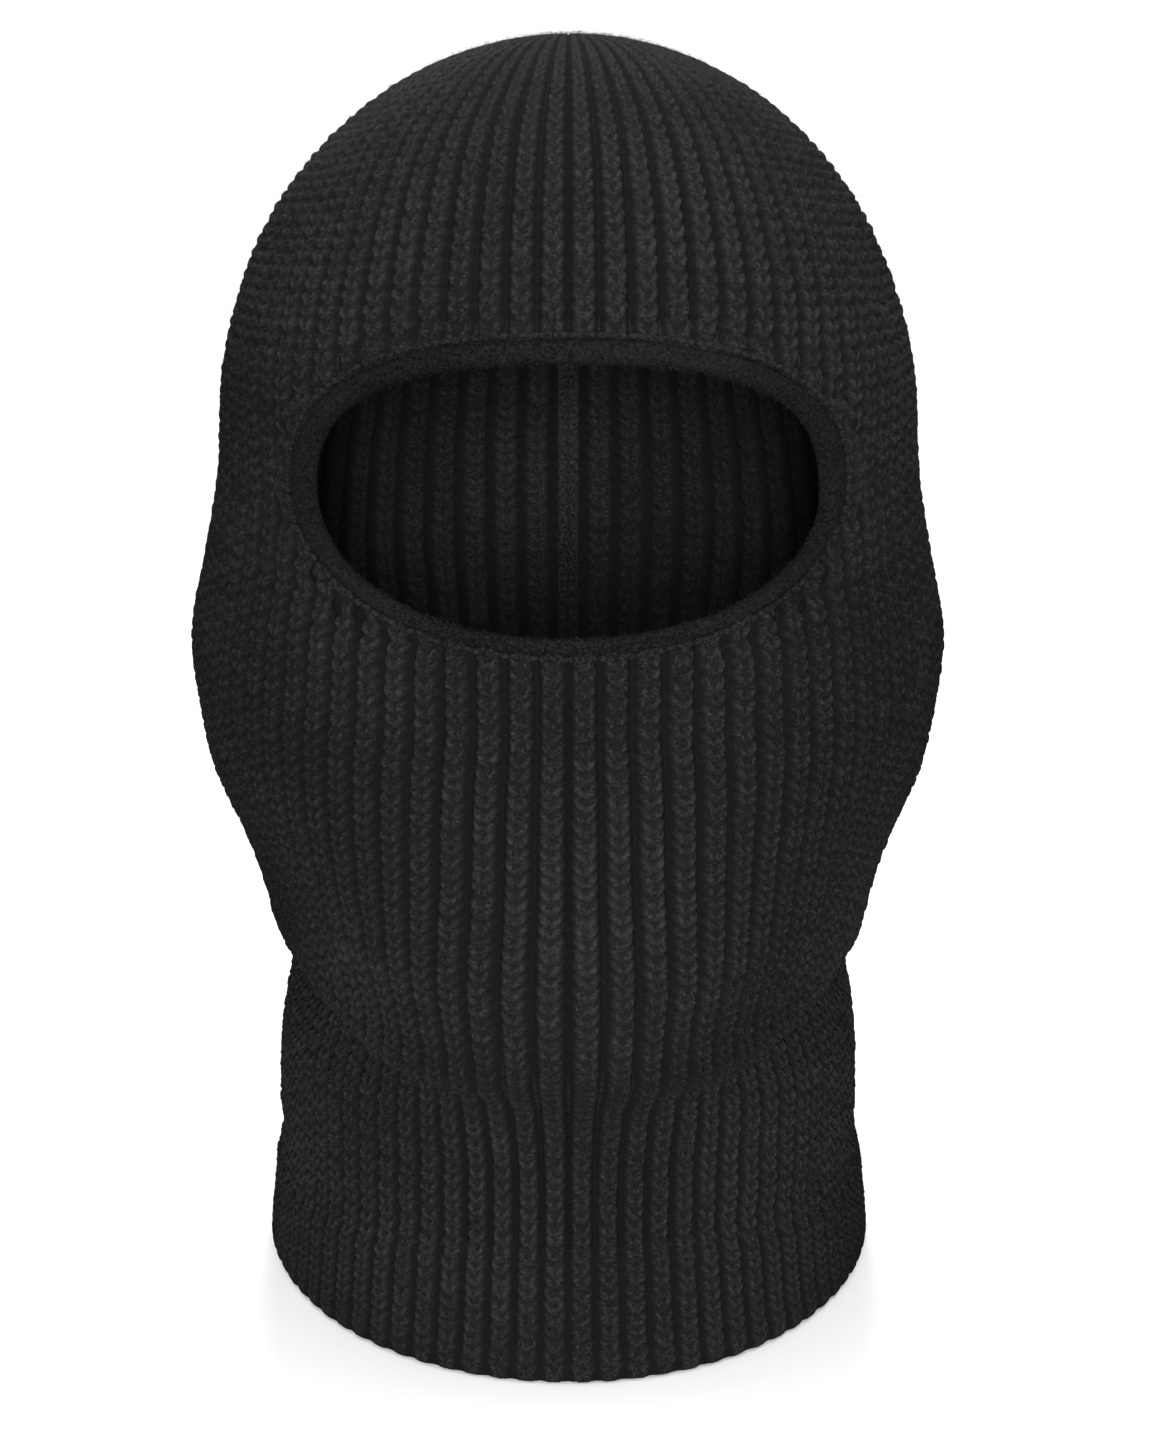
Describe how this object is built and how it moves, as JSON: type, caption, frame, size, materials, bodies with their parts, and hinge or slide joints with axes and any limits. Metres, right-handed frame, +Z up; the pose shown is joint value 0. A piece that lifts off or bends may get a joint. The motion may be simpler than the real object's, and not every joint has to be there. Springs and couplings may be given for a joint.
{
  "type": "balaclava",
  "caption": "Rib-knit balaclava with a drawn crown, trimmed eye opening, long neck tube and turned hem, in the shape it has when worn.",
  "frame": {"origin": "middle of the wearer's head at the level of the eyes, which is where the head sits in the balaclava", "axes": "+Z up to the crown, -Y the way the wearer looks, out through the eye opening, +X the wearer's left"},
  "size_m": [0.1831, 0.2275, 0.303],
  "materials": {
    "rib_knit": "fuzzy acrylic rib",
    "trim_knit": "fine brushed knit",
    "yarn": "spun acrylic yarn",
    "thread": "sewing thread",
    "label": "woven satin ribbon"
  },
  "bodies": {
    "mask": {"crown_knit": "rib_knit", "hood_knit": "rib_knit", "neck_knit": "rib_knit", "hem_welt": "rib_knit", "eye_band": "trim_knit", "band_linking_thread": "thread", "band_join_tack": "thread", "crown_draw_yarn": "yarn", "crown_knot": "yarn", "back_seam_allowance": "rib_knit", "back_seam_thread": "thread", "hem_linking_thread": "thread", "label_margin": "label", "label_stitches": "thread"},
    "label": {"care_label": "label"}
  },
  "joints": [
    {"name": "care_label_hinge", "type": "hinge", "parent": "mask", "child": "label", "pos_m": [0, 0.06055, -0.138], "axis": [-1, 0, 0], "range_deg": [0, 150]}
  ]
}
